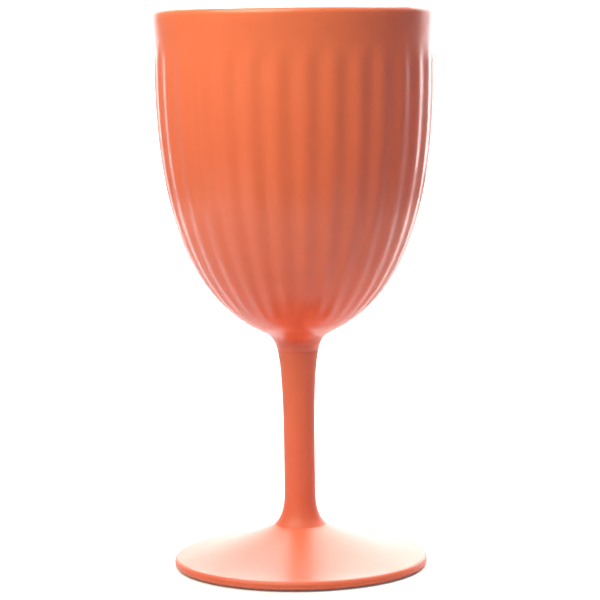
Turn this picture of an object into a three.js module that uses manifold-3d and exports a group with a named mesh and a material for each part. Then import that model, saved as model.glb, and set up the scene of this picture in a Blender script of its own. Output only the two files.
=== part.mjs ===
// Bamboo-fibre goblet: a fluted bowl, a cored stem, a trumpet foot and its base plate, bonded end to end.
// Millimetres, +Z up. The origin is the middle of the face it stands on, and Z is the axis of every piece.

import * as THREE from 'three';
import { mergeVertices } from 'three/addons/utils/BufferGeometryUtils.js';
import loadManifold from 'manifold-3d';

// Base plate, which closes the hollow foot from below
const BASE_THICKNESS = 1.5;
const BASE_EDGE_RADIUS = 0.7;       // of the lower edge
const EDGE_LIFT = 0.5;              // height of the lower edge above the table
const EDGE_LIFT_REACH = 2.5;        // width of the lifted edge outside the standing ring
const STANDING_RING = 5.5;          // width of the ring that it stands on
const UNDER_RECESS = 0.4;           // depth of the recess inside that ring
const RIB_HEIGHT = 0.7;             // low rib that centres the plate in the foot
const RIB_WIDTH = 1.5;

// Foot shell
const FOOT_DIAMETER = 77.5;
const FOOT_HEIGHT = 10.9;           // bonding land to the seat of the stem
const FOOT_EDGE = 1.4;              // height of the upright edge above the land
const FOOT_EDGE_RADIUS = 1.1;
const FOOT_WALL = 1.8;
const FOOT_LAND = 6;                // width of the face bonded to the base plate
const FOOT_SLOPE = 5;               // degrees from level, next to the edge
const FOOT_SLOPE_REACH = 9;         // how far the top follows that slope before it curves up
const FOOT_RISE_REACH = 2;          // how far it follows the collar's angle
const HUB_THICKNESS = 2.6;          // material under the seat of the stem

// Stem
const STEM_LENGTH = 53.7;
const STEM_DIAMETER = 9.5;          // at its slimmest
const STEM_BORE = 4.6;
const BORE_CHAMFER = 0.4;
const COLLAR_DIAMETER = 15.6;       // lower end of the flare, where it meets the foot
const COLLAR_ANGLE = 45;            // degrees from upright, shared by the flare and the foot
const FLARE_HEIGHT = 9.8;
const FLARE_TOP_REACH = 4.6;
const FLARE_LOW_REACH = 2.9;
const TAPER_LENGTH = 31.5;          // from the neck down to the slim stretch
const TAPER_TOP_REACH = 6;
const TAPER_LOW_REACH = 13.5;

// Bowl
const RIM_DIAMETER = 85;
const RIM_FLARE = 0.35;             // how far the rim stands out beyond the belly
const BOWL_HEIGHT = 103.6;          // joint face under the neck to the rim
const BOWL_WALL = 2;
const LIP_RADIUS = 0.9;             // rounding on either side of the lip
const UPRIGHT_DEPTH = 17.5;         // upright stretch below the rim
const BAND_WAIST = 0.3;             // how far that stretch is drawn in, halfway down
const BELLY_TOP_REACH = 37;         // how far the belly follows the upright before it turns in
const BELLY_LOW_REACH = 23;
const TURN_DIAMETER = 32.2;         // where the belly runs over into the neck
const TURN_HEIGHT = 8.9;            // of that line above the joint face
const TURN_ANGLE = 56;              // degrees from upright, shared by belly and neck
const NECK_DIAMETER = 12.6;         // at the joint with the stem
const NECK_ANGLE = 12.5;            // degrees from upright at that joint
const NECK_TOP_REACH = 7.2;
const NECK_LOW_REACH = 6.4;
const FLOOR_THICKNESS = 6.5;        // joint face to the bottom of the inside
const FLOOR_REACH = 5.5;

// Flutes round the bowl
const FLUTE_COUNT = 32;
const FLUTE_DEPTH = 0.5;
const FLUTE_FADE = 7;               // length over which a flute runs out, at both of its ends
const PLAIN_BAND = 10;              // smooth band below the rim
const PLAIN_BOTTOM = 10;            // smooth stretch above the joint face

// Spigots of the bowl and the foot, which go into the bore of the stem
const BOWL_SPIGOT_LENGTH = 12;
const FOOT_SPIGOT_LENGTH = 16;
const SPIGOT_CHAMFER = 0.6;

// Clearances
const SPIGOT_CLEARANCE = 0.15;      // all round a spigot in the bore
const RIB_CLEARANCE = 0.3;          // round and above the rib of the base plate
const BOND_LINE = 0.1;              // glue between two faces

// Facets
const STEPS_PER_FLUTE = 4;
const ROUND_STEPS = 56;
const STEM_STEPS = 40;
const ARC_STEPS = 3;
const BAND_STEPS = 4;

const COMPOSITE_COLOUR = 0xe8734d;

const wasm = await loadManifold();
wasm.setup();

const spigotRadius = STEM_BORE / 2 - SPIGOT_CLEARANCE;
const footLandRadius = FOOT_DIAMETER / 2 - FOOT_LAND;
const lipRadius = Math.min(LIP_RADIUS, 0.45 * BOWL_WALL);

const at = (radius, height) => new THREE.Vector2(radius, height);
const shoulder = at(RIM_DIAMETER / 2 - RIM_FLARE, BOWL_HEIGHT - UPRIGHT_DEPTH);

// A step of the given length, leaning out from upright by an angle in degrees
function leaning(degrees, length) {
  const angle = THREE.MathUtils.degToRad(degrees);
  return at(length * Math.sin(angle), length * Math.cos(angle));
}

// Points of a curve moved sideways, to the left of its direction, by a wall
function offsetPoints(curve, wall, steps) {
  return curve.getPoints(steps).map((point, i) => {
    const along = curve.getTangent(i / steps);
    return point.add(at(-along.y, along.x).multiplyScalar(wall));
  });
}

// A quarter of a circle round a centre, from one angle to another in degrees
function arcPoints(centre, radius, fromDegrees, toDegrees) {
  return Array.from({ length: ARC_STEPS + 1 }, (_, i) => {
    const degrees = THREE.MathUtils.lerp(fromDegrees, toDegrees, i / ARC_STEPS);
    return leaning(90 - degrees, radius).add(centre);
  });
}

// A solid turned round Z from a profile of (radius, height) points that runs up the outside
function turned(profile, steps) {
  const outline = profile.filter((point, i) => i === 0 || point.distanceTo(profile[i - 1]) > 1e-4);
  const geometry = new THREE.LatheGeometry(outline, steps);
  geometry.rotateX(Math.PI / 2);
  geometry.deleteAttribute('normal');
  geometry.deleteAttribute('uv');
  return closed(mergeVertices(geometry, 1e-4));
}

// The same geometry without the triangles that shrink to nothing on the axis
function closed(geometry) {
  const index = geometry.index.array;
  const kept = [];
  for (let i = 0; i < index.length; i += 3) {
    const [a, b, c] = index.slice(i, i + 3);
    if (a !== b && b !== c && c !== a) {
      kept.push(a, b, c);
    }
  }
  geometry.setIndex(kept);
  return geometry;
}

function toManifold(geometry) {
  const vertProperties = new Float32Array(geometry.attributes.position.array);
  const triVerts = new Uint32Array(geometry.index.array);
  return new wasm.Manifold(new wasm.Mesh({ numProp: 3, vertProperties, triVerts }));
}

function fromManifold(solid) {
  const { vertProperties, triVerts } = solid.getMesh();
  const geometry = new THREE.BufferGeometry();
  geometry.setAttribute('position', new THREE.BufferAttribute(vertProperties, 3));
  geometry.setIndex(new THREE.BufferAttribute(triVerts, 1));
  return geometry;
}

// Belly of the bowl from the turn up to the straight stretch below the rim
function bellyCurve() {
  const turn = at(TURN_DIAMETER / 2, TURN_HEIGHT);
  return new THREE.CubicBezierCurve(
    turn,
    leaning(TURN_ANGLE, BELLY_LOW_REACH).add(turn),
    at(shoulder.x, shoulder.y - BELLY_TOP_REACH),
    shoulder,
  );
}

// Fillet of the neck from the joint face up to the turn
function neckCurve() {
  const joint = at(NECK_DIAMETER / 2, 0);
  const turn = at(TURN_DIAMETER / 2, TURN_HEIGHT);
  return new THREE.CubicBezierCurve(
    joint,
    leaning(NECK_ANGLE, NECK_LOW_REACH).add(joint),
    turn.clone().sub(leaning(TURN_ANGLE, NECK_TOP_REACH)),
    turn,
  );
}

// Outside of the bowl as a full solid, with the spigot below its joint face
function bowlBody() {
  const rim = RIM_DIAMETER / 2;
  const lipCentre = at(rim - lipRadius, BOWL_HEIGHT - lipRadius);
  const upright = new THREE.LineCurve(shoulder, at(rim, lipCentre.y)).getPoints(BAND_STEPS);
  const band = upright.map((point, i) => {
    const waist = BAND_WAIST * Math.sin((Math.PI * i) / BAND_STEPS) ** 2;
    return at(point.x - waist, point.y);
  });
  const profile = [
    at(0, -BOWL_SPIGOT_LENGTH),
    at(spigotRadius - SPIGOT_CHAMFER, -BOWL_SPIGOT_LENGTH),
    at(spigotRadius, SPIGOT_CHAMFER - BOWL_SPIGOT_LENGTH),
    at(spigotRadius, 0),
    ...neckCurve().getPoints(4),
    ...bellyCurve().getPoints(9),
    ...band,
    ...arcPoints(lipCentre, lipRadius, 0, 90),
    at(0, BOWL_HEIGHT),
  ];
  return turned(profile, FLUTE_COUNT * STEPS_PER_FLUTE);
}

// Inside of the bowl, smooth from the rounded floor to the lip
function bowlCavity() {
  const belly = offsetPoints(bellyCurve(), BOWL_WALL, 9);
  const inner = RIM_DIAMETER / 2 - BOWL_WALL;
  const floor = at(0, FLOOR_THICKNESS);
  const floorCurve = new THREE.CubicBezierCurve(
    floor,
    at(FLOOR_REACH, floor.y),
    belly[0].clone().sub(leaning(TURN_ANGLE, FLOOR_REACH)),
    belly[0],
  );
  const lipCentre = at(inner + lipRadius, BOWL_HEIGHT - lipRadius);
  const profile = [
    ...floorCurve.getPoints(4),
    ...belly,
    ...arcPoints(lipCentre, lipRadius, 180, 90),
    at(lipCentre.x, BOWL_HEIGHT + BOWL_WALL),
    at(0, BOWL_HEIGHT + BOWL_WALL),
  ];
  return turned(profile, ROUND_STEPS);
}

// Presses the flutes into a turned body: a wave round Z that dies out towards the rim and the neck
function pressFlutes(geometry) {
  const { smoothstep } = THREE.MathUtils;
  const top = BOWL_HEIGHT - PLAIN_BAND;
  const position = geometry.attributes.position;
  const point = new THREE.Vector3();
  for (let i = 0; i < position.count; i += 1) {
    point.fromBufferAttribute(position, i);
    const radius = Math.hypot(point.x, point.y);
    const runIn = smoothstep(point.z, PLAIN_BOTTOM, PLAIN_BOTTOM + FLUTE_FADE);
    const runOut = smoothstep(point.z, top - FLUTE_FADE, top);
    const wave = (1 + Math.cos(FLUTE_COUNT * Math.atan2(point.x, -point.y))) / 2;
    const share = radius / (RIM_DIAMETER / 2);
    const depth = FLUTE_DEPTH * share * wave * runIn * (1 - runOut);
    if (depth > 0) {
      const scale = (radius - depth) / radius;
      position.setXYZ(i, point.x * scale, point.y * scale, point.z);
    }
  }
  return geometry;
}

function bowlGeometry() {
  const body = toManifold(pressFlutes(bowlBody()));
  return fromManifold(body.subtract(toManifold(bowlCavity())));
}

// Stem from the seat on the foot up to the neck, bored right through
function stemGeometry() {
  const bore = STEM_BORE / 2;
  const slim = STEM_DIAMETER / 2;
  const collar = at(COLLAR_DIAMETER / 2, 0);
  const flareTop = at(slim, FLARE_HEIGHT);
  const taperFoot = at(slim, STEM_LENGTH - TAPER_LENGTH);
  const neck = at(NECK_DIAMETER / 2, STEM_LENGTH);
  const flare = new THREE.CubicBezierCurve(
    collar,
    at(-FLARE_LOW_REACH, 0).rotateAround(at(0, 0), -THREE.MathUtils.degToRad(COLLAR_ANGLE)).add(collar),
    at(slim, flareTop.y - FLARE_TOP_REACH),
    flareTop,
  );
  const taper = new THREE.CubicBezierCurve(
    taperFoot,
    at(slim, taperFoot.y + TAPER_LOW_REACH),
    neck.clone().sub(leaning(NECK_ANGLE, TAPER_TOP_REACH)),
    neck,
  );
  const profile = [
    at(bore, BORE_CHAMFER),
    at(bore + BORE_CHAMFER, 0),
    ...flare.getPoints(6),
    ...taper.getPoints(6),
    at(bore + BORE_CHAMFER, STEM_LENGTH),
    at(bore, STEM_LENGTH - BORE_CHAMFER),
    at(bore, BORE_CHAMFER),
  ];
  return turned(profile, STEM_STEPS);
}

// Top of the foot from its edge up to the collar of the stem
function footCurve() {
  const edge = at(FOOT_DIAMETER / 2 - FOOT_EDGE_RADIUS, FOOT_EDGE);
  const collar = at(COLLAR_DIAMETER / 2, FOOT_HEIGHT);
  return new THREE.CubicBezierCurve(
    edge,
    leaning(FOOT_SLOPE - 90, FOOT_SLOPE_REACH).add(edge),
    leaning(180 - COLLAR_ANGLE, FOOT_RISE_REACH).add(collar),
    collar,
  );
}

// Hollow shell of the foot, with the land for the base plate and the spigot for the stem
function footGeometry() {
  const outer = FOOT_DIAMETER / 2;
  const pocketRoof = RIB_HEIGHT + RIB_CLEARANCE;
  const hubFloor = FOOT_HEIGHT - HUB_THICKNESS;
  const spigotTop = FOOT_HEIGHT + FOOT_SPIGOT_LENGTH;
  const top = footCurve();
  const isHollow = (point) => point.x < footLandRadius && point.y > pocketRoof && point.y < hubFloor;
  const underside = offsetPoints(top, FOOT_WALL, 10).filter(isHollow).reverse();
  const edgeCentre = at(outer - FOOT_EDGE_RADIUS, FOOT_EDGE - FOOT_EDGE_RADIUS);
  const profile = [
    at(0, hubFloor),
    at(underside[0].x, hubFloor),
    ...underside,
    at(footLandRadius, pocketRoof),
    at(footLandRadius, 0),
    at(outer, 0),
    ...arcPoints(edgeCentre, FOOT_EDGE_RADIUS, 0, 90),
    ...top.getPoints(8),
    at(spigotRadius, FOOT_HEIGHT),
    at(spigotRadius, spigotTop - SPIGOT_CHAMFER),
    at(spigotRadius - SPIGOT_CHAMFER, spigotTop),
    at(0, spigotTop),
  ];
  return turned(profile, ROUND_STEPS);
}

// Disc that closes the foot, standing on a ring, with the rib that centres it
function basePlateGeometry() {
  const outer = FOOT_DIAMETER / 2;
  const ribOuter = footLandRadius - RIB_CLEARANCE;
  const ribInner = ribOuter - RIB_WIDTH;
  const ringOuter = outer - EDGE_LIFT_REACH;
  const ringInner = ringOuter - STANDING_RING;
  const edgeCentre = at(outer - BASE_EDGE_RADIUS, EDGE_LIFT + BASE_EDGE_RADIUS);
  const profile = [
    at(0, UNDER_RECESS),
    at(ringInner - UNDER_RECESS, UNDER_RECESS),
    at(ringInner, 0),
    at(ringOuter, 0),
    at(ringOuter + EDGE_LIFT, EDGE_LIFT),
    ...arcPoints(edgeCentre, BASE_EDGE_RADIUS, -90, 0),
    at(outer, BASE_THICKNESS),
    at(ribOuter, BASE_THICKNESS),
    at(ribOuter, BASE_THICKNESS + RIB_HEIGHT),
    at(ribInner, BASE_THICKNESS + RIB_HEIGHT),
    at(ribInner, BASE_THICKNESS),
    at(0, BASE_THICKNESS),
  ];
  return turned(profile, ROUND_STEPS);
}

function piece(name, geometry, height) {
  const material = new THREE.MeshStandardMaterial({ color: COMPOSITE_COLOUR, roughness: 0.45, metalness: 0 });
  geometry.computeVertexNormals();
  const mesh = new THREE.Mesh(geometry, material);
  mesh.name = name;
  mesh.position.z = height;
  return mesh;
}

const footLandHeight = BASE_THICKNESS + BOND_LINE;
const stemHeight = footLandHeight + FOOT_HEIGHT + BOND_LINE;
const bowlHeight = stemHeight + STEM_LENGTH + BOND_LINE;

const goblet = new THREE.Group();
goblet.add(piece('base_plate', basePlateGeometry(), 0));
goblet.add(piece('foot', footGeometry(), footLandHeight));
goblet.add(piece('stem', stemGeometry(), stemHeight));
goblet.add(piece('bowl', bowlGeometry(), bowlHeight));

export default goblet;
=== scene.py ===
import math

import bpy
from mathutils import Euler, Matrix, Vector
from mathutils.geometry import interpolate_bezier


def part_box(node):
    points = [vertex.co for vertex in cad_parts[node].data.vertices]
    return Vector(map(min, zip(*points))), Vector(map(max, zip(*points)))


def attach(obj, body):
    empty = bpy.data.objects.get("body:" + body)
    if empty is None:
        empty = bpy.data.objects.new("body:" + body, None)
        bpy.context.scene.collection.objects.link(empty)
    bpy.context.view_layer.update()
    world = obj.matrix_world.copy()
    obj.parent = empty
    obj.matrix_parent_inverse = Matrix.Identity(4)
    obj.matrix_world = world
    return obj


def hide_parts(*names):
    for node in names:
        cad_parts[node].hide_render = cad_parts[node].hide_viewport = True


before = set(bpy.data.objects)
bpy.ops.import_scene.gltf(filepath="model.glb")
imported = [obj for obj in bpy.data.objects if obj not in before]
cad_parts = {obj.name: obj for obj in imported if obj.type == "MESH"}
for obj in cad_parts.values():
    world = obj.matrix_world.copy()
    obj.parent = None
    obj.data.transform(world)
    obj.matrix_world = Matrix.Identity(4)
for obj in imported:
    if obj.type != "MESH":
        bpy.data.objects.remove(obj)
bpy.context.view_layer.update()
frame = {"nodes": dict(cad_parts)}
print("frame loaded:", ", ".join(frame["nodes"]))

mm = 0.001

# Joint heights and outer sizes are the frame's own
plateLow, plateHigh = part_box("base_plate")
footLow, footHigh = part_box("foot")
stemLow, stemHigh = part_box("stem")
bowlLow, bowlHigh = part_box("bowl")

joint = {
    "bondLine": 0.1,  # glue gap between two solids in the frame, mm
    "seam": 0.01,  # hairline left between two bonded faces, mm
    "edgeRound": 0.04,  # softened edge on each side of a hairline, mm
    "spigotRadius": 2.15,
    "spigotChamfer": 0.6,
    "boreRadius": 2.3,
    "edgeSteps": 3,
    "turnSteps": 256,  # sides of a turned piece
    "weld": 1e-6,  # m, points closer than this are one
    "smoothAngle": 30,  # degrees, edges sharper than this stay sharp
}


def at(radius, height):
    return Vector((radius, 0.0, height))


def leaning(degrees, length):  # a step that leans out from upright
    angle = math.radians(degrees)
    return at(length * math.sin(angle), length * math.cos(angle))


def arc(centre, radius, fromDegrees, toDegrees, steps=6, stretch=1.0):  # 0 points outwards, 90 points up
    turn = toDegrees - fromDegrees
    angles = [math.radians(fromDegrees + turn * i / steps) for i in range(steps + 1)]
    return [centre + at(radius * math.cos(a), radius * stretch * math.sin(a)) for a in angles]


def sideways(points, wall):  # the same curve, moved to its left by a wall
    moved = []
    for i, point in enumerate(points):
        along = (points[min(i + 1, len(points) - 1)] - points[max(i - 1, 0)]).normalized()
        moved.append(point + at(-along.z, along.x) * wall)
    return moved


def applyModifier(piece, kind, **settings):
    modifier = piece.modifiers.new(kind.title(), kind)
    for key, value in settings.items():
        setattr(modifier, key, value)
    bpy.context.view_layer.objects.active = piece
    bpy.ops.object.modifier_apply(modifier=modifier.name)


# Draws a profile in millimetres vertex by vertex, then turns it round the upright axis
def turnProfile(name, outline, steps):
    points = [outline[0] * mm]
    for point in outline[1:]:
        if (point * mm - points[-1]).length > joint["weld"]:
            points.append(point * mm)
    bpy.ops.object.select_all(action="DESELECT")
    bpy.ops.mesh.primitive_plane_add(size=mm)
    piece = bpy.context.object
    piece.name = piece.data.name = name
    bpy.ops.object.mode_set(mode="EDIT")
    bpy.ops.mesh.merge(type="CENTER")  # one vertex to draw with
    bpy.ops.transform.translate(value=points[0])
    for here, there in zip(points, points[1:]):
        bpy.ops.mesh.extrude_region_move(TRANSFORM_OT_translate={"value": there - here})
    bpy.ops.object.mode_set(mode="OBJECT")
    applyModifier(
        piece,
        "SCREW",
        axis="Z",
        angle=2 * math.pi,
        steps=steps,
        render_steps=steps,
        use_merge_vertices=True,
        merge_threshold=joint["weld"],
    )
    bpy.ops.object.mode_set(mode="EDIT")
    bpy.ops.mesh.select_all(action="SELECT")
    bpy.ops.mesh.remove_doubles(threshold=joint["weld"])
    bpy.ops.mesh.normals_make_consistent(inside=False)
    bpy.ops.object.mode_set(mode="OBJECT")
    print(name, "turned:", len(piece.data.polygons), "faces")
    return piece


def finishPiece(piece, node):
    bpy.ops.object.shade_smooth_by_angle(angle=math.radians(joint["smoothAngle"]))
    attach(piece, "root")
    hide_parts(node)
    print(node, "finished:", len(piece.data.polygons), "faces")


# Bowl

bowl = {
    "rimRadius": bowlHigh.x / mm - joint["seam"],
    "rimFlare": 0.35,
    "rimHeight": bowlHigh.z / mm,
    "jointHeight": stemHigh.z / mm + joint["seam"],
    "spigotLength": 12.0,
    "wall": 2.0,
    "lipOutside": 1.5,  # the lip is rounded broadly outside and closely inside
    "lipInside": 0.45,
    "lipStretch": 1.2,
    "lipSteps": 12,
    "uprightDepth": 17.5,
    "bandWaist": 0.3,
    "bandSteps": 12,
    "bellyTopReach": 37.0,
    "bellyLowReach": 23.0,
    "bellySteps": 30,
    "turnRadius": 16.1,
    "turnHeight": 8.9,
    "turnAngle": 56.0,
    "neckRadius": 6.3,
    "neckAngle": 12.5,
    "neckTopReach": 7.2,
    "neckLowReach": 6.4,
    "neckSteps": 14,
    "floorThickness": 6.5,
    "floorReach": 5.5,
    "floorSteps": 8,
    "fluteCount": 32,
    "stepsPerFlute": 12,
    "fluteDepth": 0.5,
    "fluteFade": 7.0,
    "plainBand": 10.0,
    "plainBottom": 10.0,
}


def bowlOutline():
    b = bowl
    base = b["jointHeight"]
    turn = at(b["turnRadius"], base + b["turnHeight"])
    shoulder = at(b["rimRadius"] - b["rimFlare"], b["rimHeight"] - b["uprightDepth"])
    neck = at(b["neckRadius"], base + joint["edgeRound"])
    neckPoints = interpolate_bezier(
        neck,
        neck + leaning(b["neckAngle"], b["neckLowReach"]),
        turn - leaning(b["turnAngle"], b["neckTopReach"]),
        turn,
        b["neckSteps"],
    )
    bellyPoints = interpolate_bezier(
        turn,
        turn + leaning(b["turnAngle"], b["bellyLowReach"]),
        shoulder - at(0, b["bellyTopReach"]),
        shoulder,
        b["bellySteps"],
    )
    innerBelly = sideways(bellyPoints, b["wall"])[::2]  # the smooth inside needs half the points
    floor = at(0, base + b["floorThickness"])
    floorPoints = interpolate_bezier(
        floor,
        floor + at(b["floorReach"], 0),
        innerBelly[0] - leaning(b["turnAngle"], b["floorReach"]),
        innerBelly[0],
        b["floorSteps"],
    )
    lip = at(b["rimRadius"] - b["lipOutside"], b["rimHeight"] - b["lipOutside"] * b["lipStretch"])
    innerLip = at(b["rimRadius"] - b["wall"] + b["lipInside"], b["rimHeight"] - b["lipInside"])
    spigotFoot = base - b["spigotLength"]
    corner = at(neck.x - joint["edgeRound"], neck.z)
    upright = []
    for i in range(1, b["bandSteps"] + 1):
        share = i / b["bandSteps"]
        waist = b["bandWaist"] * math.sin(math.pi * share) ** 2
        upright.append(shoulder.lerp(at(b["rimRadius"], lip.z), share) - at(waist, 0))
    return [
        at(0, spigotFoot),
        at(joint["spigotRadius"] - joint["spigotChamfer"], spigotFoot),
        at(joint["spigotRadius"], spigotFoot + joint["spigotChamfer"]),
        at(joint["spigotRadius"], base),
        *arc(corner, joint["edgeRound"], -90, 0, joint["edgeSteps"]),
        *neckPoints,
        *bellyPoints,
        *upright,
        *arc(lip, b["lipOutside"], 0, 90, b["lipSteps"], b["lipStretch"]),
        *arc(innerLip, b["lipInside"], 90, 180),
        *reversed(innerBelly),
        *reversed(floorPoints),
    ]


# How deep the flute is at a place on the outside, from 0 to 1: a wave that dies out at both ends
def fluteShare(place):
    def easeIn(value, start, end):
        x = min(max((value - start) / (end - start), 0.0), 1.0)
        return x * x * (3 - 2 * x)

    low = bowl["jointHeight"] + bowl["plainBottom"]
    high = bowl["rimHeight"] - bowl["plainBand"]
    runIn = easeIn(place.z, low, low + bowl["fluteFade"])
    runOut = 1 - easeIn(place.z, high - bowl["fluteFade"], high)
    wave = (1 + math.cos(bowl["fluteCount"] * math.atan2(place.x, -place.y))) / 2
    return wave * runIn * runOut * math.hypot(place.x, place.y) / bowl["rimRadius"]


def pressFlutes(piece):
    group = piece.vertex_groups.new(name="flutes")
    for vertex in piece.data.vertices:
        outwards = vertex.normal.x * vertex.co.x + vertex.normal.y * vertex.co.y
        share = fluteShare(vertex.co / mm) if outwards > 0 else 0.0
        if share > 0:
            group.add([vertex.index], share, "REPLACE")
    applyModifier(
        piece,
        "DISPLACE",
        vertex_group="flutes",
        direction="NORMAL",
        mid_level=0.0,
        strength=-bowl["fluteDepth"] * mm,
    )


bowlPiece = turnProfile("goblet_bowl", bowlOutline(), bowl["fluteCount"] * bowl["stepsPerFlute"])
pressFlutes(bowlPiece)
finishPiece(bowlPiece, "bowl")

# Stem

stem = {
    "footHeight": stemLow.z / mm - joint["bondLine"] + joint["seam"],
    "topHeight": stemHigh.z / mm,
    "slimRadius": 4.75,
    "collarRadius": stemHigh.x / mm,
    "collarAngle": 45.0,
    "flareHeight": 9.8,
    "flareTopReach": 4.6,
    "flareLowReach": 2.9,
    "flareSteps": 18,
    "taperLength": 31.5,
    "taperTopReach": 6.0,
    "taperLowReach": 13.5,
    "taperSteps": 18,
    "neckRadius": bowl["neckRadius"],
    "neckAngle": bowl["neckAngle"],
    "boreChamfer": 0.4,
    "turnSteps": 128,
}


def stemOutline():
    s = stem
    softening = joint["edgeRound"]
    collar = at(s["collarRadius"], s["footHeight"] + softening)
    flareTop = at(s["slimRadius"], s["footHeight"] + s["flareHeight"])
    taperFoot = at(s["slimRadius"], s["topHeight"] - s["taperLength"])
    neck = at(s["neckRadius"], s["topHeight"] - softening)
    flarePoints = interpolate_bezier(
        collar,
        collar + leaning(-s["collarAngle"], s["flareLowReach"]),
        flareTop - at(0, s["flareTopReach"]),
        flareTop,
        s["flareSteps"],
    )
    taperPoints = interpolate_bezier(
        taperFoot,
        taperFoot + at(0, s["taperLowReach"]),
        neck - leaning(s["neckAngle"], s["taperTopReach"]),
        neck,
        s["taperSteps"],
    )
    bore = joint["boreRadius"]
    chamfer = s["boreChamfer"]
    return [
        at(bore, s["footHeight"] + chamfer),
        at(bore + chamfer, s["footHeight"]),
        at(s["collarRadius"] - softening, s["footHeight"]),
        *flarePoints,
        *taperPoints,
        at(s["neckRadius"] - softening, s["topHeight"]),
        at(bore + chamfer, s["topHeight"]),
        at(bore, s["topHeight"] - chamfer),
        at(bore, s["footHeight"] + chamfer),
    ]


stemPiece = turnProfile("goblet_stem", stemOutline(), stem["turnSteps"])
finishPiece(stemPiece, "stem")

# Foot

foot = {
    "outerRadius": footHigh.x / mm,
    "landHeight": footLow.z / mm - joint["bondLine"] + joint["seam"],
    "seatHeight": stem["footHeight"] - joint["seam"],
    "edgeHeight": 1.4,
    "edgeRadius": 1.1,
    "seamRound": 0.12,
    "seamSteps": 4,
    "wall": 1.8,
    "landWidth": 6.0,
    "slope": 5.0,
    "slopeReach": 9.0,
    "riseReach": 2.0,
    "topSteps": 28,
    "hubThickness": 2.6,
    "pocketDepth": 1.0,
    "spigotLength": 16.0,
}


def footOutline():
    f = foot
    landRadius = f["outerRadius"] - f["landWidth"]
    edgeTop = footLow.z / mm + f["edgeHeight"]
    edge = at(f["outerRadius"] - f["edgeRadius"], edgeTop)
    collar = at(stem["collarRadius"], f["seatHeight"])
    topPoints = interpolate_bezier(
        edge,
        edge + leaning(f["slope"] - 90, f["slopeReach"]),
        collar + leaning(180 - stem["collarAngle"], f["riseReach"]),
        collar,
        f["topSteps"],
    )
    roof = f["landHeight"] + f["pocketDepth"]
    hub = f["seatHeight"] - f["hubThickness"]
    under = [p for p in sideways(topPoints, f["wall"]) if p.x < landRadius and roof < p.z < hub]
    edgeCentre = at(edge.x, edgeTop - f["edgeRadius"])
    landCorner = at(f["outerRadius"] - f["seamRound"], f["landHeight"] + f["seamRound"])
    spigotTop = f["seatHeight"] + f["spigotLength"]
    return [
        at(0, hub),
        at(under[-1].x, hub),
        *reversed(under),
        at(landRadius, roof),
        at(landRadius, f["landHeight"]),
        *arc(landCorner, f["seamRound"], -90, 0, f["seamSteps"]),
        *arc(edgeCentre, f["edgeRadius"], 0, 90),
        *topPoints,
        at(joint["spigotRadius"], f["seatHeight"]),
        at(joint["spigotRadius"], spigotTop - joint["spigotChamfer"]),
        at(joint["spigotRadius"] - joint["spigotChamfer"], spigotTop),
        at(0, spigotTop),
    ]


footPiece = turnProfile("goblet_foot", footOutline(), joint["turnSteps"])
finishPiece(footPiece, "foot")

# Base plate

plate = {
    "outerRadius": plateHigh.x / mm,
    "thickness": 1.5,
    "edgeRound": 0.7,
    "edgeSteps": 8,
    "seamRound": 0.26,  # makes the seam below the foot show
    "edgeLift": 0.5,
    "edgeLiftReach": 2.5,
    "standingRing": 5.5,
    "recess": 0.4,
    "ribHeight": 0.7,
    "ribWidth": 1.5,
    "ribClearance": 0.3,
}


def plateOutline():
    p = plate
    ringOuter = p["outerRadius"] - p["edgeLiftReach"]
    ringInner = ringOuter - p["standingRing"]
    ribOuter = p["outerRadius"] - foot["landWidth"] - p["ribClearance"]
    ribInner = ribOuter - p["ribWidth"]
    lowCorner = at(p["outerRadius"] - p["edgeRound"], p["edgeLift"] + p["edgeRound"])
    highCorner = at(p["outerRadius"] - p["seamRound"], p["thickness"] - p["seamRound"])
    return [
        at(0, p["recess"]),
        at(ringInner - p["recess"], p["recess"]),
        at(ringInner, 0),
        at(ringOuter, 0),
        at(ringOuter + p["edgeLift"], p["edgeLift"]),
        *arc(lowCorner, p["edgeRound"], -90, 0, p["edgeSteps"]),
        *arc(highCorner, p["seamRound"], 0, 90),
        at(ribOuter, p["thickness"]),
        at(ribOuter, p["thickness"] + p["ribHeight"]),
        at(ribInner, p["thickness"] + p["ribHeight"]),
        at(ribInner, p["thickness"]),
        at(0, p["thickness"]),
    ]


platePiece = turnProfile("goblet_base_plate", plateOutline(), joint["turnSteps"])
finishPiece(platePiece, "base_plate")

# Materials

composite = {
    "speckDark": "A8482F",
    "speckPale": "F5A888",
    "cloudSize": 18.0,  # mm, the soft unevenness of the colour
    "cloudDetail": 3.0,
    "cloudRoughness": 0.6,
    "speckCell": 7.0,  # mm between specks
    "speckRadius": 0.22,  # mm
    "speckCore": 0.5,  # of that radius has the full colour
    "speckEnd": 1.3,  # times that radius is where it ends
    "speckShare": 0.3,  # of the cells have one
    "speckDarkShare": 0.65,  # of the specks are dark, the rest pale
    "grain": 0.5,  # mm, the moulded skin
    "grainDetail": 2.0,
    "grainHeight": 0.02,  # mm
    "grainStrength": 0.05,
    "glossVary": 0.03,  # the roughness varies by this much either way
    "ior": 1.5,
}
finishes = {  # each pressed piece has its own pigment and skin; the satin coral is lighter than the others, partly painted light for the brighter foot and plate
    "smooth": {"coral": "E86547", "coralDeep": "E25F41", "roughness": 0.24},
    "half satin": {"coral": "E86748", "coralDeep": "E26142", "roughness": 0.52},
    # satin coral: the foot and plate's pigment, made lighter as painted light
    "satin": {"coral": "F3704E", "coralDeep": "ED6A48", "roughness": 0.41},
}


def hexColour(text):
    def linear(value):
        return value / 12.92 if value <= 0.04045 else ((value + 0.055) / 1.055) ** 2.4

    return tuple(linear(int(text[i : i + 2], 16) / 255) for i in (0, 2, 4)) + (1.0,)


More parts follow.
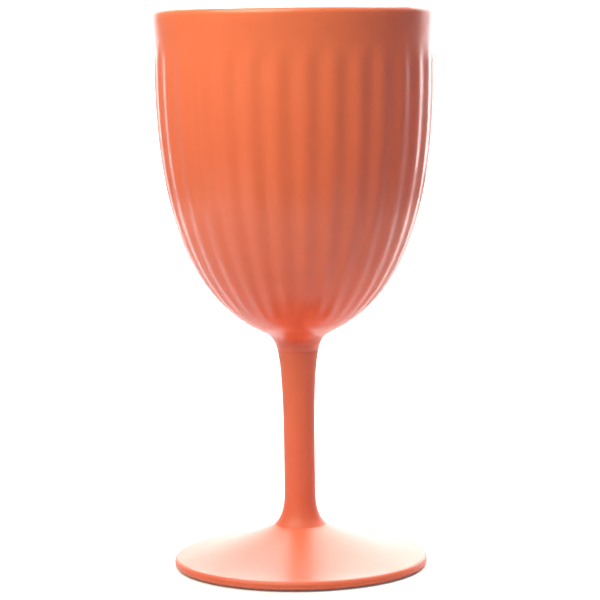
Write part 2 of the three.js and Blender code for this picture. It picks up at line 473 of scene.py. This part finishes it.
def addNode(tree, kind, settings=None, links=None):
    node = tree.nodes.new(kind)
    for key, value in (settings or {}).items():
        if isinstance(key, str) and hasattr(node, key):
            setattr(node, key, value)
        else:
            node.inputs[key].default_value = value
    for key, socket in (links or {}).items():
        tree.links.new(socket, node.inputs[key])
    return node


def newMaterial(name):
    material = bpy.data.materials.new(name)
    material.use_nodes = True
    material.node_tree.nodes.clear()
    return material, material.node_tree


# Bamboo fibre in resin, press moulded: opaque, evenly coloured, with the odd speck of fibre
def bambooComposite(finish):
    c = composite | finishes[finish]
    material, tree = newMaterial("bamboo composite, " + finish)
    place = addNode(tree, "ShaderNodeTexCoord").outputs["Object"]

    cloud = addNode(  # soft unevenness of the pigment
        tree,
        "ShaderNodeTexNoise",
        {
            "Scale": 1 / (c["cloudSize"] * mm),
            "Detail": c["cloudDetail"],
            "Roughness": c["cloudRoughness"],
        },
        {"Vector": place},
    )
    tint = addNode(
        tree,
        "ShaderNodeMixRGB",
        {"Color1": hexColour(c["coral"]), "Color2": hexColour(c["coralDeep"])},
        {"Fac": cloud.outputs["Fac"]},
    )

    cells = addNode(  # one speck in some of the cells
        tree,
        "ShaderNodeTexVoronoi",
        {"Scale": 1 / (c["speckCell"] * mm), "Randomness": 1.0},
        {"Vector": place},
    )
    pick = addNode(tree, "ShaderNodeSeparateColor", {}, {"Color": cells.outputs["Color"]})
    speck = addNode(
        tree,
        "ShaderNodeMapRange",
        {
            "interpolation_type": "SMOOTHSTEP",
            "From Min": c["speckCore"] * c["speckRadius"] / c["speckCell"],
            "From Max": c["speckEnd"] * c["speckRadius"] / c["speckCell"],
            "To Min": 1.0,
            "To Max": 0.0,
        },
        {"Value": cells.outputs["Distance"]},
    )
    chosen = addNode(
        tree,
        "ShaderNodeMath",
        {"operation": "LESS_THAN", 1: c["speckShare"]},
        {0: pick.outputs["Red"]},
    )
    speckMask = addNode(
        tree,
        "ShaderNodeMath",
        {"operation": "MULTIPLY"},
        {0: speck.outputs["Result"], 1: chosen.outputs[0]},
    )
    paleOrDark = addNode(
        tree,
        "ShaderNodeMath",
        {"operation": "GREATER_THAN", 1: c["speckDarkShare"]},
        {0: pick.outputs["Green"]},
    )
    speckColour = addNode(
        tree,
        "ShaderNodeMixRGB",
        {"Color1": hexColour(c["speckDark"]), "Color2": hexColour(c["speckPale"])},
        {"Fac": paleOrDark.outputs[0]},
    )
    colour = addNode(
        tree,
        "ShaderNodeMixRGB",
        {},
        {"Fac": speckMask.outputs[0], "Color1": tint.outputs[0], "Color2": speckColour.outputs[0]},
    )

    skin = addNode(  # fine unevenness of the moulded skin
        tree,
        "ShaderNodeTexNoise",
        {"Scale": 1 / (c["grain"] * mm), "Detail": c["grainDetail"]},
        {"Vector": place},
    )
    gloss = addNode(
        tree,
        "ShaderNodeMapRange",
        {"To Min": c["roughness"] - c["glossVary"], "To Max": c["roughness"] + c["glossVary"]},
        {"Value": cloud.outputs["Fac"]},
    )
    bump = addNode(
        tree,
        "ShaderNodeBump",
        {"Strength": c["grainStrength"], "Distance": c["grainHeight"] * mm},
        {"Height": skin.outputs["Fac"]},
    )
    shader = addNode(
        tree,
        "ShaderNodeBsdfPrincipled",
        {"IOR": c["ior"]},
        {
            "Base Color": colour.outputs[0],
            "Roughness": gloss.outputs["Result"],
            "Normal": bump.outputs["Normal"],
        },
    )
    addNode(tree, "ShaderNodeOutputMaterial", {}, {"Surface": shader.outputs["BSDF"]})
    return material


bowlPiece.data.materials.append(bambooComposite("smooth"))
stemPiece.data.materials.append(bambooComposite("half satin"))
satin = bambooComposite("satin")
for piece in (footPiece, platePiece):
    piece.data.materials.append(satin)
print("materials done")

# Studio: a pale floor and a white back wall in a white room

studio = {
    "paperColour": "DCD6D9",
    "seenColour": "FFFFFF",
    "seenLift": 0.08,  # added for the camera only, so that the sheets' edges don't show
    "floorDrop": 0.0001,
    "worldColour": "FFFFFF",
    "worldLight": 0.06,
    "mirroredDark": 0.2,  # the room in reflections, at its dark and at its light side
    "mirroredLight": 0.75,
    "lightSide": (0.8, 0.6, 0.0),  # points to the light side, right and back
    "mirroredBlend": 0.6,  # how far from the middle the blend between them goes
}
papers = {
    "floor": {
        "middle": (-0.02, 0.28, -studio["floorDrop"]),
        "turn": (0, 0, 0),  # degrees
        "size": (0.68, 1.04),
        "shine": 0.1,
    },
    "far floor": {
        "middle": (0.05, 2.4, -studio["floorDrop"]),
        "turn": (0, 0, 0),
        "size": (1.6, 3.2),
        "shine": 0.0,
    },
    "back wall": {
        "middle": (0.425, 1.5, 1.1),
        "turn": (90, 0, 0),
        "size": (3.15, 2.2),
        "shine": 0.65,
    },
}


# White paper: pale for the light that it sends on, white to the camera, and lit as given in reflections
def studioPaper(name, shine):
    material, tree = newMaterial(name)
    rays = addNode(tree, "ShaderNodeLightPath").outputs
    mirrored = addNode(
        tree,
        "ShaderNodeMath",
        {"operation": "MAXIMUM"},
        {0: rays["Is Glossy Ray"], 1: rays["Is Transmission Ray"]},
    )
    lift = addNode(tree, "ShaderNodeMath", {"operation": "MULTIPLY", 1: shine}, {0: mirrored.outputs[0]})
    light = addNode(
        tree,
        "ShaderNodeMath",
        {"operation": "MULTIPLY_ADD", 1: studio["seenLift"]},
        {0: rays["Is Camera Ray"], 2: lift.outputs[0]},
    )
    tone = addNode(
        tree,
        "ShaderNodeMix",
        {"data_type": "RGBA", 6: hexColour(studio["paperColour"]), 7: hexColour(studio["seenColour"])},
        {0: rays["Is Camera Ray"]},
    )
    paper = addNode(tree, "ShaderNodeBsdfDiffuse", {}, {"Color": tone.outputs[2]})
    glow = addNode(
        tree,
        "ShaderNodeEmission",
        {"Color": hexColour(studio["seenColour"])},
        {"Strength": light.outputs[0]},
    )
    both = addNode(tree, "ShaderNodeAddShader", {}, {0: paper.outputs[0], 1: glow.outputs[0]})
    addNode(tree, "ShaderNodeOutputMaterial", {}, {"Surface": both.outputs[0]})
    return material


for name, paper in papers.items():
    bpy.ops.object.select_all(action="DESELECT")
    bpy.ops.mesh.primitive_plane_add(size=1)
    sheet = bpy.context.object
    sheet.name = sheet.data.name = name
    sheet.scale = (*paper["size"], 1)
    sheet.rotation_euler = [math.radians(angle) for angle in paper["turn"]]
    sheet.location = paper["middle"]
    sheet.data.materials.append(studioPaper(name + " paper", paper["shine"]))
print("studio papers:", ", ".join(papers))

world = bpy.data.worlds.new("studio")
bpy.context.scene.world = world
world.use_nodes = True
world.node_tree.nodes.clear()
rays = addNode(world.node_tree, "ShaderNodeLightPath").outputs
facing = addNode(world.node_tree, "ShaderNodeTexCoord").outputs["Generated"]
towards = addNode(
    world.node_tree,
    "ShaderNodeVectorMath",
    {"operation": "DOT_PRODUCT", 1: studio["lightSide"]},
    {0: facing},
)
room = addNode(  # dark behind the camera, lighter at the back and on the right
    world.node_tree,
    "ShaderNodeMapRange",
    {
        "From Min": -studio["mirroredBlend"],
        "From Max": studio["mirroredBlend"],
        "To Min": studio["mirroredDark"],
        "To Max": studio["mirroredLight"],
    },
    {"Value": towards.outputs["Value"]},
)
mirrored = addNode(
    world.node_tree,
    "ShaderNodeMix",
    {"data_type": "FLOAT", 2: studio["worldLight"]},
    {0: rays["Is Glossy Ray"], 3: room.outputs["Result"]},
)
strength = addNode(
    world.node_tree,
    "ShaderNodeMath",
    {"operation": "MAXIMUM"},
    {0: mirrored.outputs[0], 1: rays["Is Camera Ray"]},
)
sky = addNode(
    world.node_tree,
    "ShaderNodeBackground",
    {"Color": hexColour(studio["worldColour"])},
    {"Strength": strength.outputs[0]},
)
addNode(world.node_tree, "ShaderNodeOutputWorld", {}, {"Surface": sky.outputs[0]})

lamps = {
    "key softbox": {
        "place": (-0.53, -0.60, 1.3),
        "aim": (0, 0, 0.1),
        "wide": 1.5,
        "high": 0.9,
        "watts": 21.8,
        "spread": 180,  # degrees
        "mirrored": True,
        "colour": "F6FFF6",
    },
    "rim softbox": {
        "place": (-0.24, -0.32, 0.45),
        "aim": (0, 0, 0.2),
        "wide": 0.2,
        "high": 0.2,
        "watts": 0.218,
        "spread": 32,
        "mirrored": False,  # it would leave a hard streak on the lip
        "colour": "C8FFDA",
    },
    "top softbox": {
        "place": (0.22, 0.48, 1.0),
        "aim": (0, 0, 0.1),
        "wide": 1.1,
        "high": 0.5,
        "watts": 10.0,
        "spread": 180,
        "mirrored": True,
        "colour": "FBFFFB",
    },
    "wall light": {
        "place": (0.6, 0.55, 1.15),
        "aim": (0.6, 1.5, 0.8),
        "wide": 2.0,
        "high": 0.3,
        "watts": 122.0,
        "spread": 180,
        "mirrored": True,
        "colour": "FFFFFF",
    },
}
for name, lamp in lamps.items():
    bpy.ops.object.light_add(type="AREA", location=lamp["place"])
    light = bpy.context.object
    light.name = light.data.name = name
    light.data.shape = "RECTANGLE"
    light.data.size = lamp["wide"]
    light.data.size_y = lamp["high"]
    light.data.energy = lamp["watts"]
    light.data.color = hexColour(lamp["colour"])[:3]
    light.data.spread = math.radians(lamp["spread"])
    light.visible_glossy = lamp["mirrored"]
    light.rotation_euler = (Vector(lamp["aim"]) - light.location).to_track_quat("-Z", "Y").to_euler()
print("studio lit by", len(lamps), "lamps")

# Camera, at the photograph's place

camera = {
    "side": 1.4,  # degrees round to the right
    "distance": 0.720,
    "height": 0.161,
    "pitch": 6.28,  # degrees down
    "yaw": 0.066,  # degrees to the right
    "roll": 0.8,  # degrees
    "lens": 142.5,  # mm
    "sensor": 36.0,  # mm
}
side = Euler((0, 0, math.radians(camera["side"])), "XYZ").to_quaternion()
bpy.ops.object.camera_add(location=side @ Vector((0, -camera["distance"], camera["height"])))
eye = bpy.context.object
eye.name = "camera"
eye.data.lens = camera["lens"]
eye.data.sensor_width = camera["sensor"]
tilt = math.radians(90 - camera["pitch"])
turn = Euler((tilt, 0, -math.radians(camera["yaw"])), "XYZ").to_quaternion()
roll = Euler((0, 0, -math.radians(camera["roll"])), "XYZ").to_quaternion()
eye.rotation_euler = (side @ turn @ roll).to_euler()
bpy.context.scene.camera = eye
bpy.context.scene.view_settings.view_transform = "Standard"
